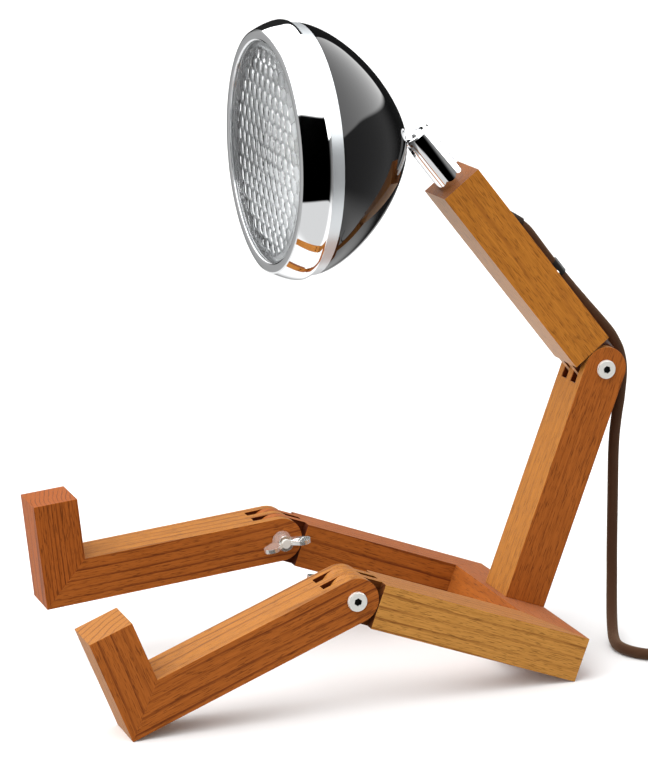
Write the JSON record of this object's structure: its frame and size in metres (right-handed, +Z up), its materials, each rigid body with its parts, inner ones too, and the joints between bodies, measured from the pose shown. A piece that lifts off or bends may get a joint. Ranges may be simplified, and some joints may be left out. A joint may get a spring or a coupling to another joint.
{
  "type": "jointed figure desk lamp",
  "caption": "Desk lamp shaped as a seated wooden figure with pinned finger joints and a round metal spotlight head on a ball joint.",
  "frame": {"origin": "on the table under the middle of the lamp, halfway between the toes and the back of the torso", "axes": "+Z up, the figure faces -X, its left side is towards -Y"},
  "size_m": [0.5326, 0.2226, 0.406],
  "materials": {
    "wood": "oiled reddish-brown hardwood, fine open pores, small rounded edges",
    "dowel_wood": "plain beech",
    "steel": "nickel-plated and satin",
    "brass": "turned",
    "plug_metal": "nickel-plated",
    "chrome": "polished",
    "black_paint": "high gloss",
    "glass": "pressed clear glass with a pattern of small lenses",
    "reflector_metal": "bright vacuum-coated aluminium",
    "lens_seal": "grey silicone, satin",
    "seal_rubber": "matt",
    "nylon": "natural",
    "ceramic": null,
    "bulb": "frosted",
    "dark_metal": "dark bronze",
    "cord_textile": "braided brown textile",
    "lead_insulation": "matt",
    "brown_plastic": "moulded, half gloss"
  },
  "bodies": {
    "root": {"hip_crosspiece": "wood", "thigh_left": "wood", "thigh_right": "wood", "torso": "wood", "hip_dowels": "dowel_wood", "torso_screws": "steel", "screw_plugs": "wood", "waist_bolt": "steel", "waist_washer": "steel", "cord_at_waist": "cord_textile", "cord_drop": "cord_textile", "cord_tail": "cord_textile", "cord_coil": "cord_textile", "cord_to_plug": "cord_textile", "plug": "brown_plastic", "plug_pins": "plug_metal", "switch_base": "brown_plastic", "switch_cover": "brown_plastic", "switch_screws": "steel"},
    "shin_left": {"shin_left": "wood", "foot_left": "wood", "heel_dowels_left": "dowel_wood", "knee_bolt_left": "steel", "knee_washer_left": "steel"},
    "shin_right": {"shin_right": "wood", "foot_right": "wood", "heel_dowels_right": "dowel_wood", "knee_bolt_right": "steel", "knee_washer_right": "steel"},
    "knee_nut_left": {"wing_nut_left": "steel"},
    "knee_nut_right": {"wing_nut_right": "steel"},
    "waist_nut": {"waist_wing_nut": "steel"},
    "upper": {"upper_beam": "wood", "neck_nipple": "brass", "nipple_nut": "steel", "cord_sleeve": "seal_rubber", "cord_clip": "dark_metal", "clip_screws": "steel", "upper_lead": "lead_insulation", "cord_along_beam": "cord_textile"},
    "neck": {"neck_barrel": "chrome", "barrel_foot": "brass", "disc_springs": "steel", "ball_seat": "nylon"},
    "stem": {"ball_stem": "chrome", "stem_washer": "steel", "stem_nut": "steel"},
    "head": {"head_shell": "black_paint", "trim_band": "chrome", "front_rim": "chrome", "rim_screw": "steel", "lens": "glass", "lens_gasket": "lens_seal", "lens_clips": "steel", "reflector": "reflector_metal", "holder_cup": "steel", "lamp_holder": "ceramic", "bulb": "bulb", "head_lead": "lead_insulation"},
    "rocker": {"switch_rocker": "brown_plastic"}
  },
  "joints": [
    {"name": "left_knee", "type": "hinge", "parent": "root", "child": "shin_left", "pos_m": [-0.02143, -0.071, 0.06898], "axis": [0, -1, 0], "range_deg": [-42, 48]},
    {"name": "right_knee", "type": "hinge", "parent": "root", "child": "shin_right", "pos_m": [-0.02143, 0.071, 0.06898], "axis": [0, -1, 0], "range_deg": [-26, 64]},
    {"name": "waist", "type": "hinge", "parent": "root", "child": "upper", "pos_m": [0.17206, 0, 0.1768], "axis": [0, -1, 0], "range_deg": [-58.5, 31.5], "deforming": ["cord_at_waist"]},
    {"name": "neck_swivel", "type": "hinge", "parent": "upper", "child": "neck", "pos_m": [0.0564, 0, 0.32753], "axis": [-0.6088, 0, 0.7934], "range_deg": [-150, 150]},
    {"name": "head_tilt", "type": "hinge", "parent": "neck", "child": "stem", "pos_m": [0.0564, 0, 0.32753], "axis": [0, -1, 0], "range_deg": [-52.5, 35]},
    {"name": "head_spin", "type": "hinge", "parent": "stem", "child": "head", "pos_m": [0.0564, 0, 0.32753], "axis": [-1, 0, 0], "range_deg": [-170, 170]},
    {"name": "left_wing_nut_turn", "type": "hinge", "parent": "shin_left", "child": "knee_nut_left", "pos_m": [-0.02143, -0.071, 0.06898], "axis": [0, 1, 0], "continuous": true},
    {"name": "right_wing_nut_turn", "type": "hinge", "parent": "shin_right", "child": "knee_nut_right", "pos_m": [-0.02143, 0.071, 0.06898], "axis": [0, -1, 0], "continuous": true},
    {"name": "waist_wing_nut_turn", "type": "hinge", "parent": "root", "child": "waist_nut", "pos_m": [0.17206, 0, 0.1768], "axis": [0, 1, 0], "continuous": true},
    {"name": "switch_rock", "type": "hinge", "parent": "root", "child": "rocker", "pos_m": [0.22773, -0.10183, 0.0122], "axis": [0.5736, 0.8192, 0], "range_deg": [0, 10]}
  ]
}
